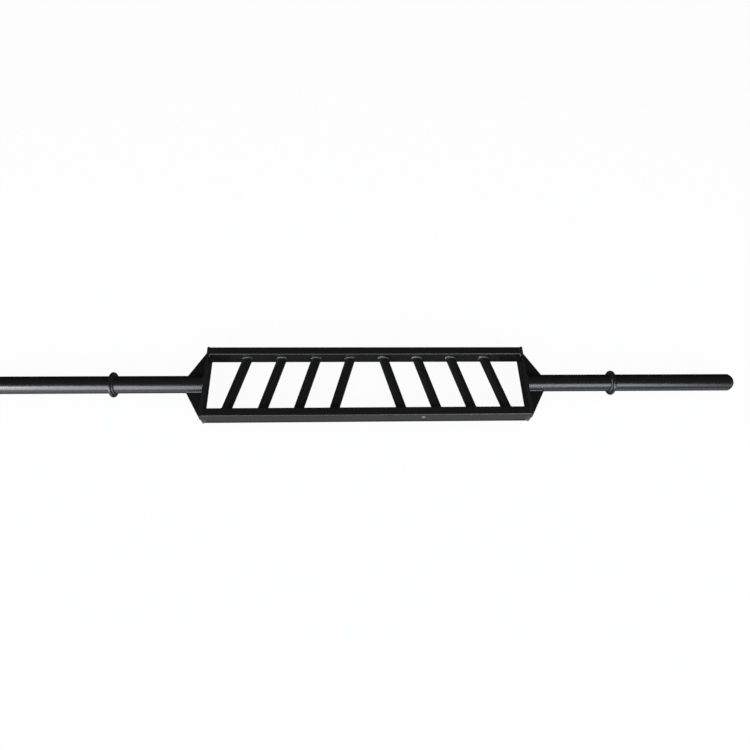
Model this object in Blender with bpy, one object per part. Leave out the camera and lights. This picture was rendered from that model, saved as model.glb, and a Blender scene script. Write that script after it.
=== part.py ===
"""Multi-grip barbell: a ladder-shaped steel frame with slanted hand grips and a fixed sleeve at each end.

Everything is one welded piece: two rectangular rails, an end plate across each end, tube grips mitred between
the rails, and at each end a pipe sleeve braced by two gussets, with a welded collar and a domed end cap.
X runs along the bar, Y from the front rail to the rear rail, and Z is normal to the frame.
The origin is on the sleeve axis at mid-length. Sizes are in metres.
"""

from math import asin, cos, pi, radians, sin, sqrt, tau

import bmesh
import bpy

# Rails: rectangular steel tube, on edge.
RAIL_HEIGHT = 0.0508
RAIL_WIDTH = 0.0254
RAIL_WALL = 0.003
RAIL_CORNER_RADIUS = 0.004
RAIL_LEAST_BORE_RADIUS = 0.0005
CLEAR_WIDTH = 0.172  # between the rails, the length of a hand space

# Grips: round tubes between the rails, their front ends leaning away from the middle.
GRIPS_PER_SIDE = 4
GRIP_DIAMETER = 0.028
GRIP_WALL = 0.003
GRIP_LEAN = radians(16.0)
GRIP_PITCH = 0.1016
CENTRE_SPACING = 0.1468  # between the two middle grips, on the sleeve axis
END_SPACING = 0.08535  # from the outermost grip to the end plate, on the sleeve axis

# End plates: flat bar across the rail ends.
PLATE_THICKNESS = 0.00635
PLATE_MARGIN = 0.00125  # plate left above and below the sleeve
PLATE_EDGE = 0.0008

# Sleeves: one pipe from the end plate to the end cap.
SLEEVE_DIAMETER = 0.05
SLEEVE_WALL = 0.005
SHAFT_LENGTH = 0.2538  # from the end plate to the collar
LOADABLE_LENGTH = 0.356  # from the collar to the end of the pipe

# Collars: plate stops welded round the sleeves.
COLLAR_THICKNESS = 0.008
COLLAR_RISE = 0.0113
COLLAR_ROUNDING = 0.003

# End caps: plugs with a shallow round dome and a spigot inside the pipe.
CAP_DOME = 0.017
CAP_SPIGOT = 0.024

# Gussets: triangular plates in the sleeve's mid plane, welded to the end plate and the sleeve.
GUSSET_THICKNESS = 0.00635
GUSSET_REACH = 0.0507
GUSSET_BLUNT = 0.002  # squared-off width of both tips

# Fillet welds.
GRIP_WELD_ON_GRIP = 0.007
GRIP_WELD_ON_RAIL = 0.005
RAIL_WELD_LEG = 0.004
SLEEVE_WELD_LEG = 0.005
GUSSET_WELD_LEG = 0.004
COLLAR_WELD_LEG = 0.004

# Clearance left between any two pieces that touch on the welded bar.
GAP = 0.0003

# Resolution.
CORNER_STEPS = 4
GRIP_STEPS = 32
SLEEVE_STEPS = 48
ROUNDING_STEPS = 3
DOME_STEPS = 7
SMOOTH_ANGLE = radians(35.0)
MERGE_DISTANCE = 0.000001

# Sizes that follow from the ones above.
SLEEVE_RADIUS = SLEEVE_DIAMETER / 2
GRIP_RADIUS = GRIP_DIAMETER / 2
RAIL_OFFSET = CLEAR_WIDTH / 2 + RAIL_WIDTH / 2
OUTERMOST_GRIP = CENTRE_SPACING / 2 + (GRIPS_PER_SIDE - 1) * GRIP_PITCH
RAIL_HALF_LENGTH = OUTERMOST_GRIP + END_SPACING - GAP
FRAME_HALF_LENGTH = OUTERMOST_GRIP + END_SPACING + PLATE_THICKNESS
PLATE_HEIGHT = max(RAIL_HEIGHT, SLEEVE_DIAMETER + 2 * PLATE_MARGIN)
PLATE_WIDTH = CLEAR_WIDTH + 2 * RAIL_WIDTH
GUSSET_ROOT = SLEEVE_RADIUS + GAP
GUSSET_TIP = PLATE_WIDTH / 2 - PLATE_EDGE
GUSSET_WELD_NEAR = GUSSET_THICKNESS / 2 + GAP
GUSSET_WELD_FAR = GUSSET_WELD_NEAR + GUSSET_WELD_LEG

BLACK_COAT = (0.013, 0.013, 0.014, 1.0)
BLACK_PLASTIC = (0.010, 0.010, 0.010, 1.0)


def clear_scene():
    """Remove every object, so that only the bar is left."""
    for leftover in list(bpy.data.objects):
        bpy.data.objects.remove(leftover, do_unlink=True)


def finish(name, colour, roughness, metallic):
    """Make a plain material."""
    material = bpy.data.materials.new(name)
    material.use_nodes = True
    shader = material.node_tree.nodes["Principled BSDF"]
    shader.inputs["Base Color"].default_value = colour
    shader.inputs["Roughness"].default_value = roughness
    shader.inputs["Metallic"].default_value = metallic
    return material


def powder_coat(piece_name):
    """Satin black powder coat on steel, one material for each piece."""
    return finish(piece_name + "_coat", BLACK_COAT, 0.42, 0.0)


def moulded_plastic(piece_name):
    """Black moulded plastic, one material for each piece."""
    return finish(piece_name + "_plastic", BLACK_PLASTIC, 0.5, 0.0)


def empty(name, parent=None):
    """Add an empty that carries other pieces."""
    holder = bpy.data.objects.new(name, None)
    bpy.context.scene.collection.objects.link(holder)
    holder.parent = parent
    return holder


def piece(name, shape, parent, material):
    """Turn a finished bmesh into a named object with outward faces, smooth where it is round."""
    bmesh.ops.recalc_face_normals(shape, faces=shape.faces)
    mesh = bpy.data.meshes.new(name)
    shape.to_mesh(mesh)
    shape.free()
    mesh.materials.append(material)
    mesh.shade_smooth()
    mesh.set_sharp_from_angle(angle=SMOOTH_ANGLE)
    made = bpy.data.objects.new(name, mesh)
    bpy.context.scene.collection.objects.link(made)
    made.parent = parent
    return made


def swept_shape(sections, closed):
    """Join equal closed sections in order. A closed sweep meets its start, an open one has flat ends."""
    shape = bmesh.new()
    rows = [[shape.verts.new(point) for point in section] for section in sections]
    following = rows[1:] + rows[:1] if closed else rows[1:]
    for row, after in zip(rows, following):
        for first in range(len(row)):
            second = (first + 1) % len(row)
            shape.faces.new((row[first], row[second], after[second], after[first]))
    if not closed:
        shape.faces.new(rows[0])
        shape.faces.new(rows[-1])
    return shape


def turned_shape(profile, closed):
    """Spin a profile of (place along X, radius) points about the X axis."""
    shape = bmesh.new()
    verts = [shape.verts.new((along, 0.0, radius)) for along, radius in profile]
    pairs = list(zip(verts, verts[1:]))
    if closed:
        pairs.append((verts[-1], verts[0]))
    edges = [shape.edges.new(pair) for pair in pairs]
    bmesh.ops.spin(shape, geom=verts + edges, cent=(0, 0, 0), axis=(1, 0, 0), angle=tau, steps=SLEEVE_STEPS)
    bmesh.ops.remove_doubles(shape, verts=shape.verts, dist=MERGE_DISTANCE)
    return shape


def rounded_rectangle(width, height, radius):
    """Points round a rectangle with round corners, centred on zero."""
    points = []
    for corner, (side_y, side_z) in enumerate(((1, 1), (-1, 1), (-1, -1), (1, -1))):
        for step in range(CORNER_STEPS + 1):
            angle = (corner + step / CORNER_STEPS) * pi / 2
            across = side_y * (width / 2 - radius) + radius * cos(angle)
            up = side_z * (height / 2 - radius) + radius * sin(angle)
            points.append((across, up))
    return points


def rail(name, side, parent):
    """One long rail: an open rectangular tube whose ends the end plates close."""
    outer = rounded_rectangle(RAIL_WIDTH, RAIL_HEIGHT, RAIL_CORNER_RADIUS)
    bore_radius = max(RAIL_CORNER_RADIUS - RAIL_WALL, RAIL_LEAST_BORE_RADIUS)
    inner = rounded_rectangle(RAIL_WIDTH - 2 * RAIL_WALL, RAIL_HEIGHT - 2 * RAIL_WALL, bore_radius)
    sections = [
        [
            (-RAIL_HALF_LENGTH, *outside),
            (RAIL_HALF_LENGTH, *outside),
            (RAIL_HALF_LENGTH, *inside),
            (-RAIL_HALF_LENGTH, *inside),
        ]
        for outside, inside in zip(outer, inner)
    ]
    made = piece(name, swept_shape(sections, closed=True), parent, powder_coat(name))
    made.location.y = side * RAIL_OFFSET


def point_on_grip(radius, angle, end, from_rail, lean):
    """A point round a grip's own axis, at a distance from the rail face that the end of the grip meets."""
    across = radius * cos(angle)
    along = (end * (CLEAR_WIDTH / 2 - from_rail) - across * sin(lean)) / cos(lean)
    return (across, along, radius * sin(angle))


def grip(name, place, lean, parent):
    """One hand grip: a round tube leaning in the frame's plane, its ends cut parallel to the rails."""
    bore_radius = GRIP_RADIUS - GRIP_WALL
    sections = []
    for step in range(GRIP_STEPS):
        angle = tau * step / GRIP_STEPS
        sections.append(
            [
                point_on_grip(GRIP_RADIUS, angle, -1, GAP, lean),
                point_on_grip(GRIP_RADIUS, angle, 1, GAP, lean),
                point_on_grip(bore_radius, angle, 1, GAP, lean),
                point_on_grip(bore_radius, angle, -1, GAP, lean),
            ]
        )
    made = piece(name, swept_shape(sections, closed=True), parent, powder_coat(name))
    made.location.x = place
    made.rotation_euler.z = lean


def grip_weld(name, end, place, lean, parent):
    """The fillet weld round one end of a grip, on the rail's inner face."""
    root_radius = GRIP_RADIUS + GAP
    sections = []
    for step in range(GRIP_STEPS):
        angle = tau * step / GRIP_STEPS
        sections.append(
            [
                point_on_grip(root_radius, angle, end, GAP, lean),
                point_on_grip(root_radius, angle, end, GAP + GRIP_WELD_ON_GRIP, lean),
                point_on_grip(root_radius + GRIP_WELD_ON_RAIL, angle, end, GAP, lean),
            ]
        )
    made = piece(name, swept_shape(sections, closed=True), parent, powder_coat(name))
    made.location.x = place
    made.rotation_euler.z = lean


def grips(parent):
    """All the grips with their welds, numbered from the left."""
    for number in range(2 * GRIPS_PER_SIDE):
        side = -1 if number < GRIPS_PER_SIDE else 1
        from_middle = number - GRIPS_PER_SIDE if side > 0 else GRIPS_PER_SIDE - 1 - number
        place = side * (CENTRE_SPACING / 2 + from_middle * GRIP_PITCH)
        lean = side * GRIP_LEAN
        name = "grip_" + str(number + 1)
        grip(name, place, lean, parent)
        grip_weld(name + "_front_weld", -1, place, lean, parent)
        grip_weld(name + "_rear_weld", 1, place, lean, parent)


def end_plate(name, parent):
    """The flat plate across the rail ends. The carrier of each end sits on its outer face."""
    shape = bmesh.new()
    bmesh.ops.create_cube(shape, size=1.0)
    bmesh.ops.scale(shape, vec=(PLATE_THICKNESS, PLATE_WIDTH, PLATE_HEIGHT), verts=shape.verts)
    bmesh.ops.bevel(shape, geom=shape.edges, offset=PLATE_EDGE, segments=1, affect="EDGES")
    made = piece(name, shape, parent, powder_coat(name))
    made.location.x = -PLATE_THICKNESS / 2


def sleeve(name, parent):
    """The pipe from the end plate, through the collar, to the end cap."""
    start = GAP
    end = SHAFT_LENGTH + COLLAR_THICKNESS + LOADABLE_LENGTH
    bore_radius = SLEEVE_RADIUS - SLEEVE_WALL
    profile = [(start, SLEEVE_RADIUS), (end, SLEEVE_RADIUS), (end, bore_radius), (start, bore_radius)]
    piece(name, turned_shape(profile, closed=True), parent, powder_coat(name))


def collar(name, parent):
    """The plate stop: a ring round the sleeve with a rounded rim and flat faces."""
    bore_radius = SLEEVE_RADIUS + GAP
    rim_radius = SLEEVE_RADIUS + COLLAR_RISE
    inner_face = SHAFT_LENGTH
    outer_face = SHAFT_LENGTH + COLLAR_THICKNESS
    profile = [(outer_face, bore_radius), (inner_face, bore_radius)]
    for centre, start_angle in ((inner_face + COLLAR_ROUNDING, pi), (outer_face - COLLAR_ROUNDING, pi / 2)):
        for step in range(ROUNDING_STEPS + 1):
            angle = start_angle - (pi / 2) * step / ROUNDING_STEPS
            along = centre + COLLAR_ROUNDING * cos(angle)
            profile.append((along, rim_radius - COLLAR_ROUNDING + COLLAR_ROUNDING * sin(angle)))
    piece(name, turned_shape(profile, closed=True), parent, powder_coat(name))


def collar_weld(name, parent):
    """The fillet weld on the collar's inner side. The outer face is left flat for the plates."""
    root_radius = SLEEVE_RADIUS + GAP
    root = SHAFT_LENGTH - GAP
    leg = min(COLLAR_WELD_LEG, COLLAR_RISE - COLLAR_ROUNDING)
    profile = [(root, root_radius), (root - leg, root_radius), (root, root_radius + leg)]
    piece(name, turned_shape(profile, closed=True), parent, powder_coat(name))


def end_cap(name, parent):
    """The domed plug that closes the pipe, as wide as the pipe, with its spigot in the bore."""
    seat = SHAFT_LENGTH + COLLAR_THICKNESS + LOADABLE_LENGTH + GAP
    spigot_radius = SLEEVE_RADIUS - SLEEVE_WALL - GAP
    profile = [(seat - CAP_SPIGOT, 0.0), (seat - CAP_SPIGOT, spigot_radius), (seat, spigot_radius)]
    dome_radius = (SLEEVE_RADIUS**2 + CAP_DOME**2) / (2 * CAP_DOME)
    half_arc = asin(SLEEVE_RADIUS / dome_radius)
    for step in range(DOME_STEPS):
        angle = half_arc * (1 - step / DOME_STEPS)
        along = seat + CAP_DOME - dome_radius * (1 - cos(angle))
        profile.append((along, dome_radius * sin(angle)))
    profile.append((seat + CAP_DOME, 0.0))
    piece(name, turned_shape(profile, closed=False), parent, moulded_plastic(name))


def gusset(name, side, parent):
    """A triangular brace from the sleeve out to the edge of the end plate."""
    outline = [
        (GAP, GUSSET_ROOT),
        (GUSSET_REACH, GUSSET_ROOT),
        (GUSSET_REACH, GUSSET_ROOT + GUSSET_BLUNT),
        (GAP + GUSSET_BLUNT, GUSSET_TIP),
        (GAP, GUSSET_TIP),
    ]
    faces = (-GUSSET_THICKNESS / 2, GUSSET_THICKNESS / 2)
    sections = [[(x, side * y, up) for x, y in outline] for up in faces]
    piece(name, swept_shape(sections, closed=False), parent, powder_coat(name))


def gusset_weld(name, side, level, parent):
    """The fillet weld on one face of a gusset: in along the end plate, then out along the sleeve.

    It stops short of both tips, where the gusset gets narrower than the weld.
    """
    edge_run = (GUSSET_REACH - GAP - GUSSET_BLUNT) / (GUSSET_TIP - GUSSET_ROOT - GUSSET_BLUNT)
    too_narrow = GUSSET_WELD_LEG + GAP - GUSSET_BLUNT
    plate_end = GUSSET_TIP - too_narrow / edge_run
    sleeve_end = GUSSET_REACH - too_narrow * edge_run
    near_sleeve = sqrt(GUSSET_ROOT**2 - GUSSET_WELD_NEAR**2)
    far_sleeve = sqrt(GUSSET_ROOT**2 - GUSSET_WELD_FAR**2)
    stations = [
        [
            (GAP, plate_end, GUSSET_WELD_NEAR),
            (GAP + GUSSET_WELD_LEG, plate_end, GUSSET_WELD_NEAR),
            (GAP, plate_end, GUSSET_WELD_FAR),
        ],
        [
            (GAP, near_sleeve, GUSSET_WELD_NEAR),
            (GAP + GUSSET_WELD_LEG, near_sleeve + GUSSET_WELD_LEG, GUSSET_WELD_NEAR),
            (GAP, far_sleeve, GUSSET_WELD_FAR),
        ],
        [
            (sleeve_end, near_sleeve, GUSSET_WELD_NEAR),
            (sleeve_end, near_sleeve + GUSSET_WELD_LEG, GUSSET_WELD_NEAR),
            (sleeve_end, far_sleeve, GUSSET_WELD_FAR),
        ],
    ]
    sections = [[(x, side * y, level * up) for x, y, up in station] for station in stations]
    piece(name, swept_shape(sections, closed=False), parent, powder_coat(name))


def rail_weld(name, side, parent):
    """The fillet weld in the corner between a rail's inner face and the end plate."""
    corner_x = -PLATE_THICKNESS - GAP
    corner_y = CLEAR_WIDTH / 2 - GAP
    outline = [
        (corner_x, corner_y),
        (corner_x - RAIL_WELD_LEG, corner_y),
        (corner_x, corner_y - RAIL_WELD_LEG),
    ]
    half_length = RAIL_HEIGHT / 2 - RAIL_CORNER_RADIUS
    sections = [[(x, side * y, up) for x, y in outline] for up in (-half_length, half_length)]
    piece(name, swept_shape(sections, closed=False), parent, powder_coat(name))


def sleeve_weld(name, side, parent):
    """The fillet weld round half of the sleeve's foot, from one gusset's weld over to the other's.

    Its leg shrinks where the end plate's edge comes close to the sleeve.
    """
    root_radius = SLEEVE_RADIUS + GAP
    start = asin((GUSSET_WELD_FAR + GAP) / root_radius)
    sections = []
    for step in range(SLEEVE_STEPS // 2 + 1):
        angle = start + (pi - 2 * start) * step / (SLEEVE_STEPS // 2)
        to_plate_edge = (PLATE_HEIGHT / 2 - PLATE_EDGE / 2) / sin(angle) - root_radius
        leg = min(SLEEVE_WELD_LEG, to_plate_edge)
        section = []
        for along, radius in ((GAP, root_radius), (GAP + leg, root_radius), (GAP, root_radius + leg)):
            section.append((along, radius * cos(angle), side * radius * sin(angle)))
        sections.append(section)
    piece(name, swept_shape(sections, closed=False), parent, powder_coat(name))


def bar_end(side_name, side, parent):
    """Everything outboard of the rails, on a carrier whose +X points away from the frame."""
    carrier = empty(side_name + "_end", parent)
    carrier.location.x = side * FRAME_HALF_LENGTH
    carrier.rotation_euler.z = 0.0 if side > 0 else pi
    end_plate(side_name + "_end_plate", carrier)
    sleeve(side_name + "_sleeve", carrier)
    sleeve_weld(side_name + "_sleeve_upper_weld", 1, carrier)
    sleeve_weld(side_name + "_sleeve_lower_weld", -1, carrier)
    for place, local_side in (("front", -side), ("rear", side)):
        end_name = side_name + "_" + place
        gusset(end_name + "_gusset", local_side, carrier)
        gusset_weld(end_name + "_gusset_upper_weld", local_side, 1, carrier)
        gusset_weld(end_name + "_gusset_lower_weld", local_side, -1, carrier)
        rail_weld(end_name + "_rail_weld", local_side, carrier)
    collar(side_name + "_collar", carrier)
    collar_weld(side_name + "_collar_weld", carrier)
    end_cap(side_name + "_end_cap", carrier)


def build_bar():
    """Build the whole bar on one carrier at the origin."""
    clear_scene()
    bar = empty("bar")
    rail("front_rail", -1, bar)
    rail("rear_rail", 1, bar)
    grips(bar)
    bar_end("left", -1, bar)
    bar_end("right", 1, bar)


build_bar()
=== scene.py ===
"""Looks of a multi-grip barbell: a welded steel ladder frame with pipe sleeves, in satin black powder coat.

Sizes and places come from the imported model. Each section makes the fine meshes and the finish of one kind of
piece, in the order in which the bar is put together, and the studio comes last. Sizes are in metres, X runs
along the bar, Y from the front rail to the rear rail, and Z is up.
"""

from math import asin, cos, pi, radians, sin, sqrt, tan, tau

import bmesh
import bpy
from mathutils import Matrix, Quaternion, Vector, noise


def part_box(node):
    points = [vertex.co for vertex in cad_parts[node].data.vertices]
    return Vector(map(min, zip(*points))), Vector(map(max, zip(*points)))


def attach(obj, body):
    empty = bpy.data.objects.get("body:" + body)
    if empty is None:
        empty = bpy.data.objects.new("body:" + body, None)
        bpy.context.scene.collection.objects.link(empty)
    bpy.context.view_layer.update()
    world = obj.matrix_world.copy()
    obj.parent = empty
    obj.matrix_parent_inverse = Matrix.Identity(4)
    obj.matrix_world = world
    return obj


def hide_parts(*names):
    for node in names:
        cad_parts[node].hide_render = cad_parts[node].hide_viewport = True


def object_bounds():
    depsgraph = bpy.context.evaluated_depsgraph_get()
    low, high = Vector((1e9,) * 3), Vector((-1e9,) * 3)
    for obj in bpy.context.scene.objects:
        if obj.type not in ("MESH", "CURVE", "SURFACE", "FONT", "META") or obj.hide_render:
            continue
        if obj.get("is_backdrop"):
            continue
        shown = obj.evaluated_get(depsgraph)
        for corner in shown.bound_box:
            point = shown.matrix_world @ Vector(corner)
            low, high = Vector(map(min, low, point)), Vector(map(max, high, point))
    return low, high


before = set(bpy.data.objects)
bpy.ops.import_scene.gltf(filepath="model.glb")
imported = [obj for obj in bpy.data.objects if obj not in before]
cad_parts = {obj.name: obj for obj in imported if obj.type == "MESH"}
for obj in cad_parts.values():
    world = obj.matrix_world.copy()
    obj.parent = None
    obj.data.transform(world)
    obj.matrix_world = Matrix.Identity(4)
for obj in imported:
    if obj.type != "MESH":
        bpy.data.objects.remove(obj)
cad_low, cad_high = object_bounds()


# Rails
# Two lengths of 2 x 1 inch rectangular steel tube, 3 mm thick, set on edge. The whole bar is welded bare and
# then powder coated in one go: dry polyester powder is sprayed on and baked to a smooth satin black skin.

RAIL_WALL = 0.003
RAIL_CORNER_RADIUS = 0.004
RAIL_BORE_RADIUS = 0.001
RAIL_CORNER_STEPS = 10
EDGE_STRIP = 0.0004  # along each cut edge, where the coat shows wear, lie two strips of this width
SHARP_ANGLE = radians(35.0)

COAT_THICK = "#111111"  # where the film is thick
COAT_THIN = "#171717"  # where it is thin
COAT_WORN = "#2a2a2a"  # on sharp edges, where powder draws back
COAT_IOR = 1.5
FILM_PATCH = 0.07  # size of the patches of thicker and thinner film
FILM_GLOSS_SWING = 0.02  # how far the roughness goes either way from thin film to thick
WEAR_START = 0.515  # pointiness of the mesh, which is 0.5 where it is flat
WEAR_FULL = 0.55
WEAR_MOST = 0.8
WAVE_SIZE = 0.03  # size of the slow waves in the steel
PEEL_SIZE = 0.007  # real orange peel is 2 to 3 mm across, drawn coarser so that it shows
PEEL_HEIGHT = 0.000013
GRAIN_SIZE = 0.0012  # the fine grain of the coat is under 0.5 mm across, drawn coarser so that it shows
GRAIN_HEIGHT = 0.000004

SPATTER_PLACE = (0.1568, 0.0085)  # along the front rail and up its front face
SPATTER_SIZE = (0.0060, 0.0018, 0.0054)
SPATTER_LUMPS = 400.0  # lumps to a metre
SPATTER_LUMPINESS = 0.16
# The drop's pale greys and their patches are a painted highlight, not the coat's own colour.
SPATTER_DULL = "#4c4c4c"
SPATTER_HIGHLIGHT_GREY = "#8e8e8c"
SPATTER_HIGHLIGHT_PATCH_SCALE = 500.0  # patches to a metre
SPATTER_ROUGHNESS = 0.45


def linear(code):
    """An sRGB hex colour as linear red, green, blue and alpha."""
    channels = []
    for place in (1, 3, 5):
        value = int(code[place : place + 2], 16) / 255
        channels.append(value / 12.92 if value <= 0.04045 else ((value + 0.055) / 1.055) ** 2.4)
    return (*channels, 1.0)


def add_node(tree, kind, settings, links):
    """Add a node. Lower case settings are its own properties, and the others and the links its inputs."""
    made = tree.nodes.new(kind)
    for name, value in settings.items():
        if str(name).islower():
            setattr(made, name, value)
        else:
            made.inputs[name].default_value = value
    for name, source in links.items():
        tree.links.new(source, made.inputs[name])
    return made


def powder_coat(name, roughness, waviness):
    """Satin black polyester powder coat, which gives the eye soft highlights with a slight orange peel.

    Its film varies a little and is thin and lighter on corners. Waviness is the height of the slow waves in
    the steel under the coat.
    """
    material = bpy.data.materials.new(name)
    material.use_nodes = True
    tree = material.node_tree
    shader = tree.nodes["Principled BSDF"]
    place = add_node(tree, "ShaderNodeTexCoord", {}, {}).outputs["Object"]
    film = add_node(
        tree,
        "ShaderNodeTexNoise",
        {"Scale": 1 / FILM_PATCH, "Detail": 4.0, "Roughness": 0.6},
        {"Vector": place},
    ).outputs["Fac"]
    body = add_node(
        tree, "ShaderNodeMixRGB", {"Color1": linear(COAT_THICK), "Color2": linear(COAT_THIN)}, {"Fac": film}
    )
    edge = add_node(tree, "ShaderNodeNewGeometry", {}, {}).outputs["Pointiness"]
    worn = add_node(
        tree,
        "ShaderNodeMapRange",
        {"From Min": WEAR_START, "From Max": WEAR_FULL, "To Max": WEAR_MOST},
        {"Value": edge},
    )
    colour = add_node(
        tree,
        "ShaderNodeMixRGB",
        {"Color2": linear(COAT_WORN)},
        {"Fac": worn.outputs["Result"], "Color1": body.outputs["Color"]},
    )
    gloss = add_node(
        tree,
        "ShaderNodeMapRange",
        {
            "From Min": 0.3,
            "From Max": 0.7,
            "To Min": roughness + FILM_GLOSS_SWING,
            "To Max": roughness - FILM_GLOSS_SWING,
        },
        {"Value": film},
    )
    slow = add_node(
        tree, "ShaderNodeTexNoise", {"Scale": 1 / WAVE_SIZE, "Detail": 1.0}, {"Vector": place}
    ).outputs["Fac"]
    peel = add_node(
        tree, "ShaderNodeTexNoise", {"Scale": 1 / PEEL_SIZE, "Detail": 1.0}, {"Vector": place}
    ).outputs["Fac"]
    grain = add_node(
        tree, "ShaderNodeTexNoise", {"Scale": 1 / GRAIN_SIZE, "Detail": 0.0}, {"Vector": place}
    ).outputs["Fac"]
    surface = None
    for height, pattern in ((waviness, slow), (PEEL_HEIGHT, peel), (GRAIN_HEIGHT, grain)):
        links = {"Height": pattern}
        if surface:
            links["Normal"] = surface.outputs["Normal"]
        surface = add_node(tree, "ShaderNodeBump", {"Distance": height}, links)
    shader.inputs["IOR"].default_value = COAT_IOR
    tree.links.new(colour.outputs["Color"], shader.inputs["Base Color"])
    tree.links.new(gloss.outputs["Result"], shader.inputs["Roughness"])
    tree.links.new(surface.outputs["Normal"], shader.inputs["Normal"])
    return material


def swept(sections, closed):
    """Join closed sections of equal length. A closed sweep meets its start, an open one gets flat ends."""
    shape = bmesh.new()
    rows = [[shape.verts.new(point) for point in section] for section in sections]
    following = rows[1:] + rows[:1] if closed else rows[1:]
    for row, after in zip(rows, following):
        for first in range(len(row)):
            second = (first + 1) % len(row)
            shape.faces.new((row[first], row[second], after[second], after[first]))
    if not closed:
        shape.faces.new(rows[0])
        shape.faces.new(rows[-1])
    return shape


def rounded_rectangle(low, high, radius, steps):
    """Points (y, z) round a rectangle with round corners."""
    points = []
    for corner, (side_y, side_z) in enumerate(((1, 1), (-1, 1), (-1, -1), (1, -1))):
        centre_y = high.y - radius if side_y > 0 else low.y + radius
        centre_z = high.z - radius if side_z > 0 else low.z + radius
        for step in range(steps + 1):
            angle = (corner + step / steps) * pi / 2
            points.append((centre_y + radius * cos(angle), centre_z + radius * sin(angle)))
    return points


def add_piece(name, shape, material, slot, *cad_nodes):
    """Make a bmesh a piece of the bar, smooth where it is round, which stands for the CAD nodes named."""
    bmesh.ops.recalc_face_normals(shape, faces=shape.faces)
    mesh = bpy.data.meshes.new(name)
    shape.to_mesh(mesh)
    shape.free()
    mesh.materials.append(material)
    mesh.shade_smooth()
    mesh.set_sharp_from_angle(angle=SHARP_ANGLE)
    made = bpy.data.objects.new(name, mesh)
    bpy.context.scene.collection.objects.link(made)
    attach(made, "root")
    if cad_nodes:
        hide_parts(*cad_nodes)


for place in ("front", "rear"):
    low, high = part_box(place + "_rail")
    wall = Vector((0.0, RAIL_WALL, RAIL_WALL))
    outer = rounded_rectangle(low, high, RAIL_CORNER_RADIUS, RAIL_CORNER_STEPS)
    inner = rounded_rectangle(low + wall, high - wall, RAIL_BORE_RADIUS, RAIL_CORNER_STEPS)
    lengthwise = [low.x + EDGE_STRIP * step for step in (0, 1, 2)]
    lengthwise += [high.x - EDGE_STRIP * step for step in (2, 1, 0)]
    sections = [
        [(x, *outside) for x in lengthwise] + [(x, *inside) for x in reversed(lengthwise)]
        for outside, inside in zip(outer, inner)
    ]
    rail_coat = powder_coat(place + "_rail_powder_coat", roughness=0.29, waviness=0.000015)
    add_piece(place + "_rail_tube", swept(sections, closed=True), rail_coat, "rail_coat", place + "_rail")

# One drop of weld spatter stuck to the front rail and was coated over. Its pale grey is a painted highlight,
# which stands in for the glint off its up-facing top and shows as a small light spot, lighter in random
# patches.
spatter_highlight_coat = bpy.data.materials.new("painted_highlight_on_spatter")
spatter_highlight_coat.use_nodes = True
tree = spatter_highlight_coat.node_tree
shader = tree.nodes["Principled BSDF"]
point = add_node(tree, "ShaderNodeTexCoord", {}, {}).outputs["Object"]
highlight_patches = add_node(tree, "ShaderNodeTexNoise", {"Scale": SPATTER_HIGHLIGHT_PATCH_SCALE, "Detail": 2.0}, {"Vector": point})
grey = add_node(
    tree,
    "ShaderNodeMixRGB",
    {"Color1": linear(SPATTER_DULL), "Color2": linear(SPATTER_HIGHLIGHT_GREY)},
    {"Fac": highlight_patches.outputs["Fac"]},
)
tree.links.new(grey.outputs["Color"], shader.inputs["Base Color"])
shader.inputs["Roughness"].default_value = SPATTER_ROUGHNESS
shader.inputs["IOR"].default_value = COAT_IOR

spatter = bmesh.new()
bmesh.ops.create_uvsphere(spatter, u_segments=32, v_segments=20, radius=1.0)
bmesh.ops.scale(spatter, vec=SPATTER_SIZE, verts=spatter.verts)
for vert in spatter.verts:
    vert.co *= 1.0 + SPATTER_LUMPINESS * noise.noise(vert.co * SPATTER_LUMPS)
rail_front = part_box("front_rail")[0].y
spatter_along, spatter_up = SPATTER_PLACE
bmesh.ops.translate(spatter, vec=(spatter_along, rail_front, spatter_up), verts=spatter.verts)
add_piece("front_rail_spatter", spatter, spatter_highlight_coat, "rail_coat")


# End plates
# A piece of 1/4 inch plate across the rail ends, cut and its edges broken with a file before welding.

PLATE_EDGE = 0.0008
PLATE_EDGE_STEPS = 3
LEAST_FLAT = 0.0001  # in square metres, the smallest face that counts as a flat

plate_coat = powder_coat("plate_powder_coat", roughness=0.29, waviness=0.00003)


def frame_flats(shape):
    """Cut two narrow strips off round each flat face, so that edge wear stays near the edge."""
    flats = [face for face in shape.faces if face.calc_area() > LEAST_FLAT]
    for _ in range(2):
        bmesh.ops.inset_individual(shape, faces=flats, thickness=EDGE_STRIP)


for side_name in ("left", "right"):
    low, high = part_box(side_name + "_end_plate")
    shape = bmesh.new()
    bmesh.ops.create_cube(shape, size=1.0)
    bmesh.ops.scale(shape, vec=high - low, verts=shape.verts)
    bmesh.ops.translate(shape, vec=(low + high) / 2, verts=shape.verts)
    bmesh.ops.bevel(
        shape,
        geom=shape.edges,
        offset=PLATE_EDGE,
        segments=PLATE_EDGE_STEPS,
        profile=0.5,
        affect="EDGES",
    )
    frame_flats(shape)
    add_piece(side_name + "_plate_bar", shape, plate_coat, "plate_coat", side_name + "_end_plate")


# Grips
# Eight 28 mm round steel tubes, their ends mitred so that they lean 16 degrees between the rails.

GRIP_DIAMETER = 0.028
GRIP_WALL = 0.003
GRIP_LEAN = radians(16.0)
GRIP_STEPS = 96
GRIP_COUNT = 8

front_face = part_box("front_rail")[1].y
rear_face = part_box("rear_rail")[0].y
clear_width = rear_face - front_face
grip_coat = powder_coat("grip_powder_coat", roughness=0.31, waviness=0.00002)


def point_on_grip(centre, lean, radius, angle, end, from_rail):
    """A point round a grip's axis, at a distance from the rail face that this end of the grip meets."""
    across = radius * cos(angle)
    reach = end * (clear_width / 2 - from_rail)
    along = (reach - across * sin(lean)) / cos(lean)
    return Vector((centre + across * cos(lean) - along * sin(lean), reach, radius * sin(angle)))


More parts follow.
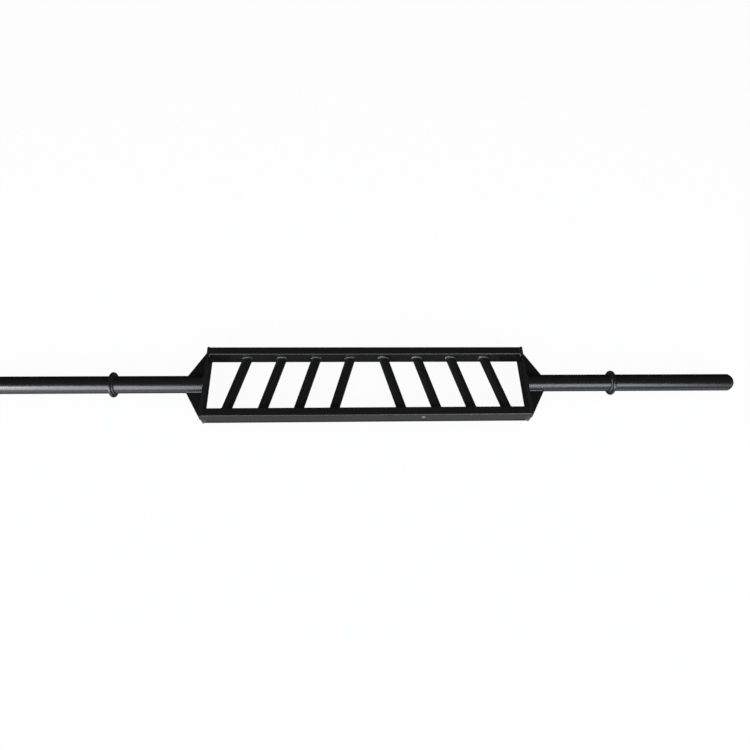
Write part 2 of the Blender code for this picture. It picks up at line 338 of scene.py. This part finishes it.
grips = []
for number in range(1, GRIP_COUNT + 1):
    name = "grip_" + str(number)
    low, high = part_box(name)
    centre = (low.x + high.x) / 2
    lean = GRIP_LEAN if centre > 0 else -GRIP_LEAN
    grips.append((name, centre, lean))
    radius = GRIP_DIAMETER / 2
    bore = radius - GRIP_WALL
    sections = []
    for step in range(GRIP_STEPS):
        angle = tau * step / GRIP_STEPS
        section = [point_on_grip(centre, lean, radius, angle, -1, EDGE_STRIP * strip) for strip in (0, 1, 2)]
        section += [point_on_grip(centre, lean, radius, angle, 1, EDGE_STRIP * strip) for strip in (2, 1, 0)]
        section += [point_on_grip(centre, lean, bore, angle, end, 0.0) for end in (1, -1)]
        sections.append(section)
    add_piece(name + "_tube", swept(sections, closed=True), grip_coat, "grip_coat", name)


# Grip welds
# A wire-fed arc weld runs all round each end of each grip. The pool freezes in small crescents as the torch
# moves on, and the coat flows over them, so the bead is rippled, a little proud and shinier than the tubes.

WELD_LEG = 0.0045
GRIP_WELD_ON_GRIP = 0.0070
GRIP_WELD_ON_RAIL = 0.0050
RIPPLE_PITCH = 0.0012
RIPPLE_STEPS = 6  # stations to a ripple
RIPPLE_HEIGHT = 0.08
RIPPLE_BOW = 0.7  # how far the middle of a crescent trails its ends, in ripples
TOE_RIPPLE = 0.35  # how high a ripple is at the bead's toes, as a share of its height in the middle
CROWN = 0.28
FACE_STEPS = 7
WANDER = 0.10
WANDER_SIZE = 0.012
TAPER = 0.004  # an open bead grows to its full size over this length
BLUNT_END = 0.1  # share of its cross-section that it starts with

weld_coat = powder_coat("weld_powder_coat", roughness=0.24, waviness=0.00002)


def bead(stations, closed):
    """A weld bead. Each station is its root and two arms that reach along the joined faces to its toes."""
    middles = [root + (arm_a + arm_b) / 2 for root, arm_a, arm_b in stations]
    travelled = [0.0]
    for before, after in zip(middles, middles[1:] + middles[:1]):
        travelled.append(travelled[-1] + (after - before).length)
    length = travelled[-1] if closed else travelled[-2]
    pitch = length / max(1, round(length / RIPPLE_PITCH))
    sections = []
    for (root, arm_a, arm_b), run in zip(stations, travelled):
        size = 1.0 + WANDER * noise.noise(root / WANDER_SIZE)
        if not closed:
            size *= sqrt(min(1.0, BLUNT_END + min(run, length - run) / TAPER))
        section = [root]
        for step in range(FACE_STEPS + 1):
            share = step / FACE_STEPS
            arc = 4 * share * (1 - share)
            beat = (run / pitch + RIPPLE_BOW * arc) % 1.0
            ripple = RIPPLE_HEIGHT * sqrt(1 - (2 * beat - 1) ** 2) * (TOE_RIPPLE + (1 - TOE_RIPPLE) * arc)
            chord = (1 - share) * arm_a + share * arm_b
            lift = (arm_a + arm_b) * (CROWN * arc + ripple) / 2
            section.append(root + size * (chord + lift))
        sections.append(section)
    return swept(sections, closed)


def station_count(length):
    """How many stations a bead of this length needs."""
    return RIPPLE_STEPS * max(1, round(length / RIPPLE_PITCH))


for name, centre, lean in grips:
    for place, end in (("front", -1), ("rear", 1)):
        count = station_count(tau * (GRIP_DIAMETER + GRIP_WELD_ON_RAIL) / 2)
        stations = []
        for step in range(count):
            angle = tau * step / count
            root = point_on_grip(centre, lean, GRIP_DIAMETER / 2, angle, end, 0.0)
            along = point_on_grip(centre, lean, GRIP_DIAMETER / 2, angle, end, GRIP_WELD_ON_GRIP)
            outward = point_on_grip(centre, lean, GRIP_DIAMETER / 2 + GRIP_WELD_ON_RAIL, angle, end, 0.0)
            stations.append((root, along - root, outward - root))
        joint = name + "_" + place
        add_piece(joint + "_bead", bead(stations, closed=True), weld_coat, "weld_coat", joint + "_weld")


# Rail welds
# The rails are butted to the end plates. A bead stands in each inner corner, and the welds on the outer faces
# are ground flush with a flap disc, which leaves a faint low band under the coat.

RAIL_WELD_LEG = 0.0036
DRESSED_WIDTH = 0.007
DRESSED_HEIGHT = 0.00022
DRESSED_SINK = 0.0006
DRESSED_STEPS = 8

for side_name, side in (("left", -1), ("right", 1)):
    plate_low, plate_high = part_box(side_name + "_end_plate")
    inner_face = plate_high.x if side < 0 else plate_low.x
    for place, rail_side in (("front", -1), ("rear", 1)):
        rail_low, rail_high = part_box(place + "_rail")
        weld_low, weld_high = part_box(side_name + "_" + place + "_rail_weld")
        rail_face = rail_high.y if rail_side < 0 else rail_low.y
        count = station_count(weld_high.z - weld_low.z)
        stations = []
        for step in range(count + 1):
            up = weld_low.z + (weld_high.z - weld_low.z) * step / count
            arm_along = Vector((-side * RAIL_WELD_LEG, 0.0, 0.0))
            arm_across = Vector((0.0, -rail_side * RAIL_WELD_LEG, 0.0))
            stations.append((Vector((inner_face, rail_face, up)), arm_along, arm_across))
        joint = side_name + "_" + place + "_rail"
        add_piece(joint + "_bead", bead(stations, closed=False), weld_coat, "weld_coat", joint + "_weld")

        skin = rounded_rectangle(rail_low, rail_high, RAIL_CORNER_RADIUS, RAIL_CORNER_STEPS)
        sections = []
        for y, z in skin:
            core_y = min(max(y, rail_low.y + RAIL_CORNER_RADIUS), rail_high.y - RAIL_CORNER_RADIUS)
            core_z = min(max(z, rail_low.z + RAIL_CORNER_RADIUS), rail_high.z - RAIL_CORNER_RADIUS)
            outward = Vector((0.0, y - core_y, z - core_z)).normalized()
            base = Vector((inner_face, y, z)) - outward * DRESSED_SINK
            section = []
            for step in range(DRESSED_STEPS + 1):
                share = step / DRESSED_STEPS
                height = DRESSED_SINK + DRESSED_HEIGHT * 4 * share * (1 - share)
                along = Vector(((share - 0.5) * DRESSED_WIDTH, 0.0, 0.0))
                section.append(base + along + outward * height)
            section.append(base + Vector((0.5 * DRESSED_WIDTH, 0.0, 0.0)))
            section.append(base - Vector((0.5 * DRESSED_WIDTH, 0.0, 0.0)))
            sections.append(section)
        add_piece(joint + "_dressed_weld", swept(sections, closed=True), weld_coat, "weld_coat")


# Sleeves
# One length of 50 mm steel tube a side, from the end plate through the collar to the end, its outer edge
# chamfered. Drawn tube isn't perfectly even, which shows as slow waves in its highlight.

SLEEVE_WALL = 0.005
SLEEVE_CHAMFER = 0.0008
ROUND_STEPS = 144

sleeve_coat = powder_coat("sleeve_powder_coat", roughness=0.28, waviness=0.00004)


def turned(profile, closed):
    """Turn a profile of (x, radius) points about the X axis."""
    shape = bmesh.new()
    verts = [shape.verts.new((along, 0.0, radius)) for along, radius in profile]
    pairs = list(zip(verts, verts[1:]))
    if closed:
        pairs.append((verts[-1], verts[0]))
    edges = [shape.edges.new(pair) for pair in pairs]
    bmesh.ops.spin(shape, geom=verts + edges, cent=(0, 0, 0), axis=(1, 0, 0), angle=tau, steps=ROUND_STEPS)
    bmesh.ops.remove_doubles(shape, verts=shape.verts, dist=1e-6)
    return shape


for side_name, side in (("left", -1), ("right", 1)):
    low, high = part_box(side_name + "_sleeve")
    foot, tip = (high.x, low.x) if side < 0 else (low.x, high.x)
    radius = high.z
    bore = radius - SLEEVE_WALL
    profile = [
        (foot, radius),
        (foot + side * EDGE_STRIP, radius),
        (foot + side * EDGE_STRIP * 2, radius),
        (tip - side * (SLEEVE_CHAMFER + EDGE_STRIP * 2), radius),
        (tip - side * (SLEEVE_CHAMFER + EDGE_STRIP), radius),
        (tip - side * SLEEVE_CHAMFER, radius),
        (tip, radius - SLEEVE_CHAMFER),
        (tip, bore),
        (foot, bore),
    ]
    tube = turned(profile, closed=True)
    add_piece(side_name + "_sleeve_pipe", tube, sleeve_coat, "sleeve_coat", side_name + "_sleeve")


# Gussets
# Two triangles of 1/4 inch plate a side, plasma cut, their cut edges ground to a small radius.

GUSSET_EDGE = 0.0006
GUSSET_EDGE_STEPS = 2
GUSSET_BLUNT = 0.002
GUSSET_BURY = 0.0006  # how far the plate runs into the pipe and the end plate that it is welded to

gusset_coat = powder_coat("gusset_powder_coat", roughness=0.29, waviness=0.00003)
sleeve_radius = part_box("right_sleeve")[1].z

for side_name, side in (("left", -1), ("right", 1)):
    for place, across in (("front", -1), ("rear", 1)):
        name = side_name + "_" + place + "_gusset"
        low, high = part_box(name)
        root_x, tip_x = (high.x, low.x) if side < 0 else (low.x, high.x)
        root_y, tip_y = (high.y, low.y) if across < 0 else (low.y, high.y)
        buried_x = root_x - side * GUSSET_BURY
        buried_y = root_y - across * GUSSET_BURY
        outline = [
            (buried_x, buried_y),
            (tip_x, buried_y),
            (tip_x, root_y + across * GUSSET_BLUNT),
            (root_x + side * GUSSET_BLUNT, tip_y),
            (buried_x, tip_y),
        ]
        shape = swept([[(x, y, up) for x, y in outline] for up in (low.z, high.z)], closed=False)
        bmesh.ops.bevel(
            shape,
            geom=shape.edges,
            offset=GUSSET_EDGE,
            segments=GUSSET_EDGE_STEPS,
            profile=0.5,
            affect="EDGES",
        )
        frame_flats(shape)
        add_piece(name + "_plate", shape, gusset_coat, "gusset_coat", name)


# Gusset and sleeve welds
# The gussets are welded on both faces, along the end plate and along the pipe, and the pipe's foot is welded
# to the plate between them. Where the plate's edge comes close to the pipe the bead is narrow on the plate.

SLEEVE_WELD_LEG = 0.0036
PIPE_WELD_LEG = 0.0032

for side_name, side in (("left", -1), ("right", 1)):
    plate_low, plate_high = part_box(side_name + "_end_plate")
    outer_face = plate_low.x if side < 0 else plate_high.x
    for place, across in (("front", -1), ("rear", 1)):
        gusset_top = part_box(side_name + "_" + place + "_gusset")[1].z
        for level_name, level in (("upper", 1), ("lower", -1)):
            joint = side_name + "_" + place + "_gusset_" + level_name
            low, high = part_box(joint + "_weld")
            far_x = low.x if side < 0 else high.x
            far_y = low.y if across < 0 else high.y
            face = level * gusset_top
            root_y = across * sqrt(sleeve_radius**2 - face**2)
            toe_y = across * sqrt(sleeve_radius**2 - (abs(face) + PIPE_WELD_LEG) ** 2)
            passes = []
            start, end = Vector((outer_face, far_y, face)), Vector((outer_face, root_y, face))
            arms = (Vector((side * WELD_LEG, 0, 0)), Vector((0, 0, level * WELD_LEG)))
            passes.append((start, end, arms))
            start, end = Vector((outer_face, root_y, face)), Vector((far_x, root_y, face))
            on_gusset = Vector((0, across * PIPE_WELD_LEG, 0))
            on_pipe = Vector((0, toe_y - root_y, level * PIPE_WELD_LEG))
            passes.append((start, end, (on_gusset, on_pipe)))
            both = bmesh.new()
            for start, end, (arm_a, arm_b) in passes:
                count = station_count((end - start).length)
                stations = [(start.lerp(end, step / count), arm_a, arm_b) for step in range(count + 1)]
                one = bead(stations, closed=False)
                mesh = bpy.data.meshes.new("pass")
                one.to_mesh(mesh)
                one.free()
                both.from_mesh(mesh)
                bpy.data.meshes.remove(mesh)
            add_piece(joint + "_beads", both, weld_coat, "weld_coat", joint + "_weld")
    for level_name, level in (("upper", 1), ("lower", -1)):
        joint = side_name + "_sleeve_" + level_name
        low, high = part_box(joint + "_weld")
        clear = min(abs(low.z), abs(high.z)) / sleeve_radius
        start_angle = asin(clear)
        count = station_count((pi - 2 * start_angle) * sleeve_radius)
        stations = []
        for step in range(count + 1):
            angle = start_angle + (pi - 2 * start_angle) * step / count
            outward = Vector((0.0, cos(angle), level * sin(angle)))
            to_edge = plate_high.z / sin(angle) - sleeve_radius
            root = Vector((outer_face, 0.0, 0.0)) + outward * sleeve_radius
            along = Vector((side * SLEEVE_WELD_LEG, 0.0, 0.0))
            stations.append((root, along, outward * min(SLEEVE_WELD_LEG, to_edge)))
        add_piece(joint + "_bead", bead(stations, closed=False), weld_coat, "weld_coat", joint + "_weld")


# Collars
# A ring turned from 8 mm plate with a rounded rim, slid on the pipe and welded round its inner side. Its
# outer face stays flat, because the weight plates stop against it.

COLLAR_ROUNDING = 0.003
COLLAR_ROUND_STEPS = 8

collar_coat = powder_coat("collar_powder_coat", roughness=0.27, waviness=0.00002)

for side_name, side in (("left", -1), ("right", 1)):
    low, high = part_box(side_name + "_collar")
    rim = high.z
    profile = [(high.x, sleeve_radius), (low.x, sleeve_radius)]
    for centre, start_angle in ((low.x + COLLAR_ROUNDING, pi), (high.x - COLLAR_ROUNDING, pi / 2)):
        for step in range(COLLAR_ROUND_STEPS + 1):
            angle = start_angle - (pi / 2) * step / COLLAR_ROUND_STEPS
            along = centre + COLLAR_ROUNDING * cos(angle)
            profile.append((along, rim - COLLAR_ROUNDING + COLLAR_ROUNDING * sin(angle)))
    joint = side_name + "_collar"
    add_piece(joint + "_ring", turned(profile, closed=True), collar_coat, "collar_coat", joint)

    inner_side = high.x if side < 0 else low.x
    count = station_count(tau * (sleeve_radius + WELD_LEG / 2))
    stations = []
    for step in range(count):
        angle = tau * step / count
        outward = Vector((0.0, cos(angle), sin(angle)))
        root = Vector((inner_side, 0.0, 0.0)) + outward * sleeve_radius
        stations.append((root, Vector((-side * WELD_LEG, 0.0, 0.0)), outward * WELD_LEG))
    add_piece(joint + "_bead", bead(stations, closed=True), weld_coat, "weld_coat", joint + "_weld")


# End caps
# A domed plug of black nylon, moulded with a fine matt grain, pushed into the pipe by its spigot. The grain
# gives the eye a wide dull sheen, unlike the coat's highlight.

CAP_SPIGOT_CLEARANCE = 0.0003
CAP_SPIGOT = 0.024
CAP_SHADOW_GAP = 0.0005
CAP_DOME_STEPS = 24
CAP_DARK = "#101010"
CAP_LIGHT = "#141414"
CAP_CLOUD_SCALE = 60.0  # both in patches to a metre
CAP_GRAIN_SCALE = 900.0
CAP_GRAIN_HEIGHT = 0.00003
CAP_IOR = 1.53

cap_plastic = bpy.data.materials.new("cap_moulded_nylon")
cap_plastic.use_nodes = True
tree = cap_plastic.node_tree
shader = tree.nodes["Principled BSDF"]
point = add_node(tree, "ShaderNodeTexCoord", {}, {}).outputs["Object"]
cloud = add_node(tree, "ShaderNodeTexNoise", {"Scale": CAP_CLOUD_SCALE, "Detail": 3.0}, {"Vector": point})
sparks = add_node(tree, "ShaderNodeTexNoise", {"Scale": CAP_GRAIN_SCALE, "Detail": 2.0}, {"Vector": point})
tint = add_node(
    tree,
    "ShaderNodeMixRGB",
    {"Color1": linear(CAP_DARK), "Color2": linear(CAP_LIGHT)},
    {"Fac": cloud.outputs["Fac"]},
)
matt = add_node(
    tree, "ShaderNodeMapRange", {"To Min": 0.42, "To Max": 0.54}, {"Value": sparks.outputs["Fac"]}
)
grain = add_node(
    tree,
    "ShaderNodeBump",
    {"Distance": CAP_GRAIN_HEIGHT, "Strength": 0.6},
    {"Height": sparks.outputs["Fac"]},
)
tree.links.new(tint.outputs["Color"], shader.inputs["Base Color"])
tree.links.new(matt.outputs["Result"], shader.inputs["Roughness"])
tree.links.new(grain.outputs["Normal"], shader.inputs["Normal"])
shader.inputs["IOR"].default_value = CAP_IOR

for side_name, side in (("left", -1), ("right", 1)):
    low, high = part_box(side_name + "_end_cap")
    sleeve_low, sleeve_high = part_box(side_name + "_sleeve")
    pipe_end, tip = (sleeve_low.x, low.x) if side < 0 else (sleeve_high.x, high.x)
    spigot = sleeve_radius - SLEEVE_WALL - CAP_SPIGOT_CLEARANCE
    seat = pipe_end + side * CAP_SHADOW_GAP
    profile = [(pipe_end - side * CAP_SPIGOT, 0.0), (pipe_end - side * CAP_SPIGOT, spigot), (seat, spigot)]
    profile.append((seat, sleeve_radius - CAP_SHADOW_GAP))
    rise = abs(tip - seat) - CAP_SHADOW_GAP
    dome_radius = (sleeve_radius**2 + rise**2) / (2 * rise)
    half_arc = asin(sleeve_radius / dome_radius)
    for step in range(CAP_DOME_STEPS):
        angle = half_arc * (1 - step / CAP_DOME_STEPS)
        profile.append((tip - side * dome_radius * (1 - cos(angle)), dome_radius * sin(angle)))
    profile.append((tip, 0.0))
    plug = turned(profile, closed=False)
    add_piece(side_name + "_cap_plug", plug, cap_plastic, "cap_plastic", side_name + "_end_cap")


# Studio
# The bar lies on a wide white floor. Windows to the left and right give the long highlights. A black tent
# over, behind and in front of it keeps the rest of the coat dark, and cards that only the coat mirrors add to
# what it shows.

FLOOR_SIZE = 30.0
FLOOR_COLOUR = "#f2f2f2"
FLOOR_LIFT = 0.95  # how much of the floor's colour is plain white, where it is seen or mirrored
AMBIENT = 0.62  # fill light from all round

scene = bpy.context.scene
scene.view_settings.view_transform = "Standard"


def level_sheet(left, right, front, back, up):
    """The corners of a level rectangle."""
    return [(left, front, up), (right, front, up), (right, back, up), (left, back, up)]


def add_stage(name, sheets):
    """Flat sheets, each a list of corners, that belong to the studio and not to the bar."""
    shape = bmesh.new()
    for corners in sheets:
        shape.faces.new([shape.verts.new(corner) for corner in corners])
    mesh = bpy.data.meshes.new(name)
    shape.to_mesh(mesh)
    shape.free()
    made = bpy.data.objects.new(name, mesh)
    scene.collection.objects.link(made)
    made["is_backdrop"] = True
    return made


def add_card(name, sheets, brightness):
    """A plain card that only the coat mirrors."""
    card = add_stage(name, sheets)
    card.visible_camera = False
    card.visible_diffuse = False
    card.visible_shadow = False
    paper = bpy.data.materials.new(name + "_paper")
    paper.use_nodes = True
    tree = paper.node_tree
    tree.nodes.remove(tree.nodes["Principled BSDF"])
    glow = add_node(tree, "ShaderNodeEmission", {"Color": (1.0, 1.0, 1.0, 1.0), "Strength": brightness}, {})
    tree.links.new(glow.outputs["Emission"], tree.nodes["Material Output"].inputs["Surface"])
    card.data.materials.append(paper)


def seen_or_mirrored(tree):
    """One for rays from the camera or off a glossy or clear surface, and nought for the rest."""
    paths = add_node(tree, "ShaderNodeLightPath", {}, {})
    first = add_node(
        tree,
        "ShaderNodeMath",
        {"operation": "ADD"},
        {0: paths.outputs["Is Camera Ray"], 1: paths.outputs["Is Glossy Ray"]},
    )
    return add_node(
        tree,
        "ShaderNodeMath",
        {"operation": "ADD", "use_clamp": True},
        {0: first.outputs["Value"], 1: paths.outputs["Is Transmission Ray"]},
    ).outputs["Value"]


half = FLOOR_SIZE / 2
ground = cad_low.z
floor = add_stage("floor", [level_sheet(-half, half, -half, half, ground)])
floor_paint = bpy.data.materials.new("white_floor_paint")
floor_paint.use_nodes = True
tree = floor_paint.node_tree
tree.nodes.remove(tree.nodes["Principled BSDF"])
paint = add_node(tree, "ShaderNodeBsdfDiffuse", {"Color": linear(FLOOR_COLOUR)}, {})
white = add_node(tree, "ShaderNodeEmission", {"Color": (1.0, 1.0, 1.0, 1.0), "Strength": 1.0}, {})
seen_share = seen_or_mirrored(tree)
lift = add_node(tree, "ShaderNodeMath", {"operation": "MULTIPLY", 1: FLOOR_LIFT}, {0: seen_share})
seen = add_node(
    tree,
    "ShaderNodeMixShader",
    {},
    {0: lift.outputs["Value"], 1: paint.outputs["BSDF"], 2: white.outputs["Emission"]},
)
tree.links.new(seen.outputs["Shader"], tree.nodes["Material Output"].inputs["Surface"])
floor.data.materials.append(floor_paint)

world = bpy.data.worlds.new("studio")
world.use_nodes = True
world.cycles.sampling_method = "NONE"
scene.world = world
tree = world.node_tree
tree.nodes.remove(tree.nodes["Background"])
room = add_node(tree, "ShaderNodeBackground", {"Color": (1.0, 1.0, 1.0, 1.0), "Strength": AMBIENT}, {})
backdrop = add_node(tree, "ShaderNodeBackground", {"Color": (1.0, 1.0, 1.0, 1.0), "Strength": 1.0}, {})
mixed = add_node(
    tree,
    "ShaderNodeMixShader",
    {},
    {0: seen_or_mirrored(tree), 1: room.outputs["Background"], 2: backdrop.outputs["Background"]},
)
tree.links.new(mixed.outputs["Shader"], tree.nodes["World Output"].inputs["Surface"])

TENT_SIDE = 3.4
TENT_FRONT = -1.5
TENT_SIDE_FRONT = -0.5
TENT_BACK = 3.0
TENT_HEIGHT = 2.2
ROOF_GLOW = 0.03
WALL_DISTANCE = 6.0
WALL_BOTTOM = radians(10.0)  # how far above the floor the wall in front starts, as seen from the bar
WALL_TOP = radians(58.0)
WALL_STEPS = 18

top = ground + TENT_HEIGHT
add_card("tent_roof", [level_sheet(-TENT_SIDE, TENT_SIDE, TENT_FRONT, TENT_BACK, top)], ROOF_GLOW)
for name, start, end in (
    ("tent_back", (-TENT_SIDE, TENT_BACK), (TENT_SIDE, TENT_BACK)),
    ("tent_left", (-TENT_SIDE, TENT_SIDE_FRONT), (-TENT_SIDE, TENT_BACK)),
    ("tent_right", (TENT_SIDE, TENT_SIDE_FRONT), (TENT_SIDE, TENT_BACK)),
):
    add_card(name, [[(*start, ground), (*end, ground), (*end, top), (*start, top)]], 0.0)
turns = [pi * step / WALL_STEPS - pi / 2 for step in range(WALL_STEPS + 1)]
feet = [Vector((sin(turn), -cos(turn), 0.0)) * WALL_DISTANCE for turn in turns]
low_edge = Vector((0.0, 0.0, ground + WALL_DISTANCE * tan(WALL_BOTTOM)))
high_edge = Vector((0.0, 0.0, ground + WALL_DISTANCE * tan(WALL_TOP)))
add_card(
    "tent_front",
    [
        [first + low_edge, second + low_edge, second + high_edge, first + high_edge]
        for first, second in zip(feet, feet[1:])
    ],
    0.0,
)

# Cards lie just over the floor: white paper to the left, grey in front, black behind, and nearly black under
# the bar, where it shades the floor that it mirrors.
CARD_LIFT = 0.0005
LEFT_CARD_START = 0.08
LEFT_CARD_GAP = 0.05
UNDER_CARD_MARGIN = 0.05
UNDER_SLEEVE_START = 0.045
CONTACT_SHADE = 0.008  # how far the shade reaches in front of the frame
FRONT_CARD_END = 0.85

rail_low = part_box("front_rail")[0]
rail_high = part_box("rear_rail")[1]
left_card_end = rail_low.x - LEFT_CARD_GAP
margin_left = rail_low.x + UNDER_CARD_MARGIN
margin_right = rail_high.x - UNDER_CARD_MARGIN
under_front = rail_low.y - CONTACT_SHADE
for name, left, right, front, back, brightness in (
    ("left_card", -TENT_SIDE, left_card_end, TENT_FRONT, -LEFT_CARD_START, 1.6),
    ("front_card", left_card_end, FRONT_CARD_END, TENT_FRONT, under_front, 0.46),
    ("front_right_card", FRONT_CARD_END, TENT_SIDE, TENT_FRONT, under_front, 0.3),
    ("back_card", -TENT_SIDE, TENT_SIDE, rail_high.y, TENT_BACK, 0.0),
    ("under_card", margin_left, margin_right, under_front, rail_high.y, 0.09),
    ("under_card_left", rail_low.x, margin_left, under_front, rail_high.y, 0.03),
    ("under_card_right", margin_right, rail_high.x, under_front, rail_high.y, 0.03),
    ("under_left_sleeve", -TENT_SIDE, rail_low.x, -UNDER_SLEEVE_START, rail_high.y, 0.09),
    ("under_right_sleeve", rail_high.x, TENT_SIDE, -UNDER_SLEEVE_START, rail_high.y, 0.09),
):
    add_card(name, [level_sheet(left, right, front, back, ground + CARD_LIFT)], brightness)


WINDOW_DISTANCE = 4.0
DAYLIGHT = "#e2ecff"
WHITE_PAPER = "#ffffff"


def add_window(name, left, right, bottom, top, radiance, colour, lights_all):
    """A soft area light that faces the bar. Its edges are in degrees right of the front and above the floor.

    One that doesn't light all is only mirrored, so that highlights don't set how bright the colours are.
    """
    swing = radians((left + right) / 2)
    height = radians((bottom + top) / 2)
    away = Vector((sin(swing) * cos(height), -cos(swing) * cos(height), sin(height)))
    data = bpy.data.lights.new(name, "AREA")
    data.shape = "RECTANGLE"
    data.size = 2 * WINDOW_DISTANCE * tan(radians((right - left) / 2))
    data.size_y = 2 * WINDOW_DISTANCE * tan(radians((top - bottom) / 2))
    data.energy = radiance * pi * data.size * data.size_y
    data.color = linear(colour)[:3]
    light = bpy.data.objects.new(name, data)
    scene.collection.objects.link(light)
    light.location = away * WINDOW_DISTANCE
    light.rotation_mode = "QUATERNION"
    light.rotation_quaternion = away.to_track_quat("Z", "Y")
    light.visible_camera = False
    light.visible_diffuse = lights_all


add_window("left_window", -48.0, -24.0, 10.0, 38.0, 8.3, DAYLIGHT, True)
add_window("right_window", 24.0, 46.0, 10.0, 38.0, 8.4, DAYLIGHT, True)
add_window("front_window", -24.0, 24.0, 10.0, 38.0, 2.2, WHITE_PAPER, False)
add_window("far_left_window", -62.0, -48.0, 10.0, 29.0, 23.5, WHITE_PAPER, False)
add_window("far_left_sill", -72.0, -48.0, -0.4, 10.0, 13.5, WHITE_PAPER, False)
add_window("left_sill", -48.0, -24.0, -0.4, 10.0, 8.4, WHITE_PAPER, False)
add_window("front_left_sill", -24.0, 0.0, -0.4, 10.0, 4.2, WHITE_PAPER, False)
add_window("front_right_sill", 0.0, 24.0, -0.4, 10.0, 9.5, WHITE_PAPER, False)

# The camera stands in front of the bar and above it, a little left of its middle, and is tipped a little to
# the side.
CAMERA_TARGET = Vector((0.0227, 0.0291, 0.0))
CAMERA_DISTANCE = 1.6345
CAMERA_HEIGHT = radians(61.674)
CAMERA_SWING = radians(-6.121)
CAMERA_TIP = radians(5.198)
CAMERA_SENSOR = 36.0  # in millimetres, like the lens
CAMERA_LENS = 26.513

camera_data = bpy.data.cameras.new("camera")
camera_data.sensor_width = CAMERA_SENSOR
camera_data.lens = CAMERA_LENS
camera = bpy.data.objects.new("camera", camera_data)
scene.collection.objects.link(camera)
back = Vector(
    (
        sin(CAMERA_SWING) * cos(CAMERA_HEIGHT),
        -cos(CAMERA_SWING) * cos(CAMERA_HEIGHT),
        sin(CAMERA_HEIGHT),
    )
)
camera.location = CAMERA_TARGET + back * CAMERA_DISTANCE
camera.rotation_mode = "QUATERNION"
camera.rotation_quaternion = back.to_track_quat("Z", "Y") @ Quaternion((0.0, 0.0, 1.0), CAMERA_TIP)
scene.camera = camera

low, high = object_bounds()
